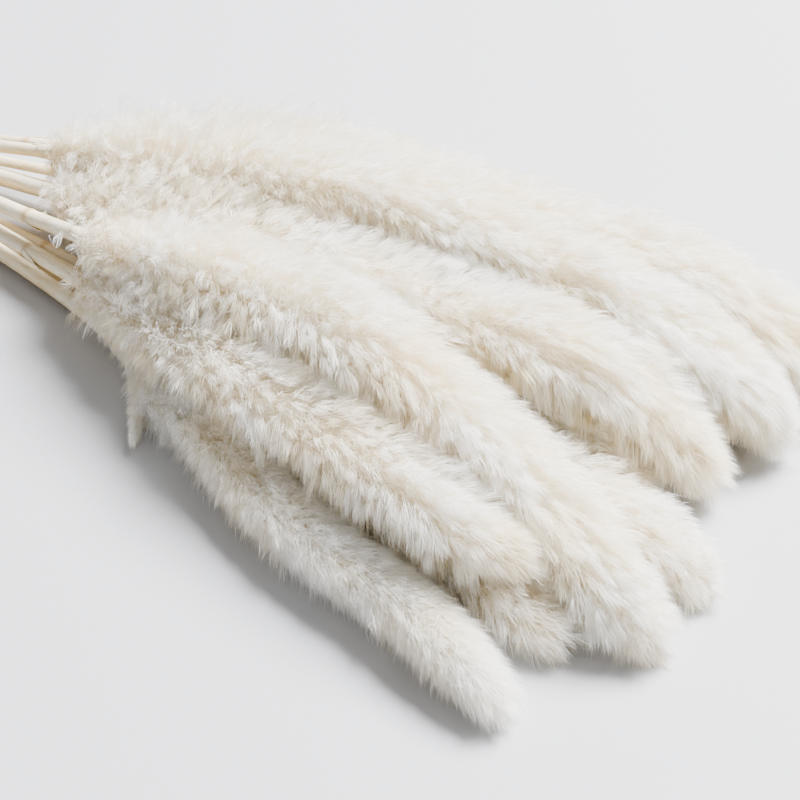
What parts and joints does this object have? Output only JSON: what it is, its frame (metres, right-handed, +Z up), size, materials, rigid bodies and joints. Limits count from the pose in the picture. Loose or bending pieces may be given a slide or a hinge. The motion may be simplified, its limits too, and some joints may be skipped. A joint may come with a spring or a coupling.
{
  "type": "bundle of pampas grass",
  "caption": "Tied bundle of bleached, fluffy pampas grass plumes on slim cane stems, lying fanned out on a flat surface; a loose decoration or filling for a vase.",
  "frame": {"origin": "under the middle of the bundle's box, on the surface that it lies on", "axes": "+X along the stems towards the tips of the plumes, +Y across the fan, +Z up"},
  "size_m": [0.4686, 0.1812, 0.0579],
  "materials": {
    "plume": "soft, silky, matt",
    "stem": "smooth, satin",
    "twine": "rough, fibrous"
  },
  "bodies": {
    "root": {"plume_01": "plume", "plume_02": "plume", "plume_03": "plume", "plume_04": "plume", "plume_05": "plume", "plume_06": "plume", "plume_07": "plume", "plume_08": "plume", "plume_09": "plume", "plume_10": "plume", "plume_11": "plume", "plume_12": "plume", "plume_13": "plume", "stem_01": "stem", "stem_02": "stem", "stem_03": "stem", "stem_04": "stem", "stem_05": "stem", "stem_06": "stem", "stem_07": "stem", "stem_08": "stem", "stem_09": "stem", "stem_10": "stem", "stem_11": "stem", "stem_12": "stem", "stem_13": "stem", "tie": "twine"}
  },
  "joints": []
}
